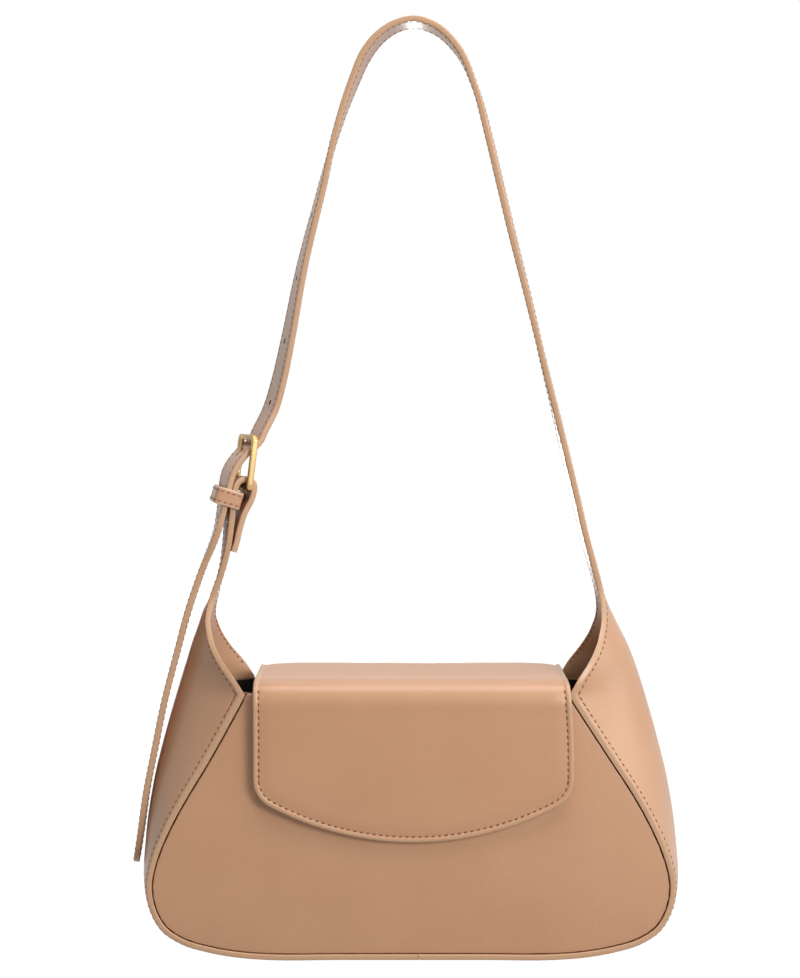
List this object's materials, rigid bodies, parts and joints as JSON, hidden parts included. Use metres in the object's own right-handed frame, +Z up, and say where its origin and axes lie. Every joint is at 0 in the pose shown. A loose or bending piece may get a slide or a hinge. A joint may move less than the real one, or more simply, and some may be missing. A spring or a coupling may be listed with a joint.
{
  "type": "shoulder bag",
  "caption": "Structured trapezoid shoulder bag with a drop flap, wrapped gusset rising into an adjustable strap, belt buckle and sliding keeper.",
  "frame": {"origin": "on the flat base at the middle of the bag's width and depth, 4 mm left of the base seam", "axes": "+Z up through the strap, +X to the wearer's view right of the front panel, -Y out of the front panel and flap"},
  "size_m": [0.2941, 0.0898, 0.4976],
  "materials": {
    "leather_camel": "smooth semi-matt faux leather, camel",
    "leather_strap": "smooth faux leather with painted edges",
    "lining": "very dark brown woven lining",
    "board": "stiffening board",
    "magnet_steel": "plated magnet disc",
    "gold_metal": "pale gold plated, polished"
  },
  "bodies": {
    "shell": {"gusset_left": "leather_camel", "gusset_right": "leather_camel", "gusset_facing_left": "leather_camel", "gusset_facing_right": "leather_camel", "front_panel": "leather_camel", "back_panel": "leather_camel", "front_stiffener": "board", "back_stiffener": "board", "base_board": "board", "lining_front": "lining", "lining_back": "lining", "lining_gusset": "lining", "panel_magnet": "magnet_steel", "flap_anchor": "leather_camel"},
    "flap": {"flap": "leather_camel", "flap_facing": "leather_camel", "flap_magnet": "magnet_steel"},
    "strap": {"long_strap": "leather_strap", "short_strap": "leather_strap"},
    "buckle": {"buckle_frame": "gold_metal"},
    "prong": {"buckle_prong": "gold_metal"},
    "keeper": {"keeper_loop": "leather_strap"}
  },
  "joints": [
    {"name": "flap_lift", "type": "hinge", "parent": "shell", "child": "flap", "pos_m": [0, 0.0391, 0.1419], "axis": [-1, 0, 0], "range_deg": [0, 150]},
    {"name": "strap_swing", "type": "hinge", "parent": "shell", "child": "strap", "pos_m": [0, 0, 0.186], "axis": [1, 0, 0], "range_deg": [-80, 80]},
    {"name": "buckle_tilt", "type": "hinge", "parent": "strap", "child": "buckle", "pos_m": [-0.0906, 0, 0.2462], "axis": [-0.309, 0.9511, 0], "range_deg": [0, 2]},
    {"name": "prong_swing", "type": "hinge", "parent": "strap", "child": "prong", "pos_m": [-0.0906, 0, 0.2462], "axis": [0.309, -0.9511, 0], "range_deg": [0, 2]},
    {"name": "keeper_slide", "type": "slide", "parent": "strap", "child": "keeper", "axis": [0.2952, 0.0574, 0.9537], "range_m": [-0.0025, 0]}
  ]
}
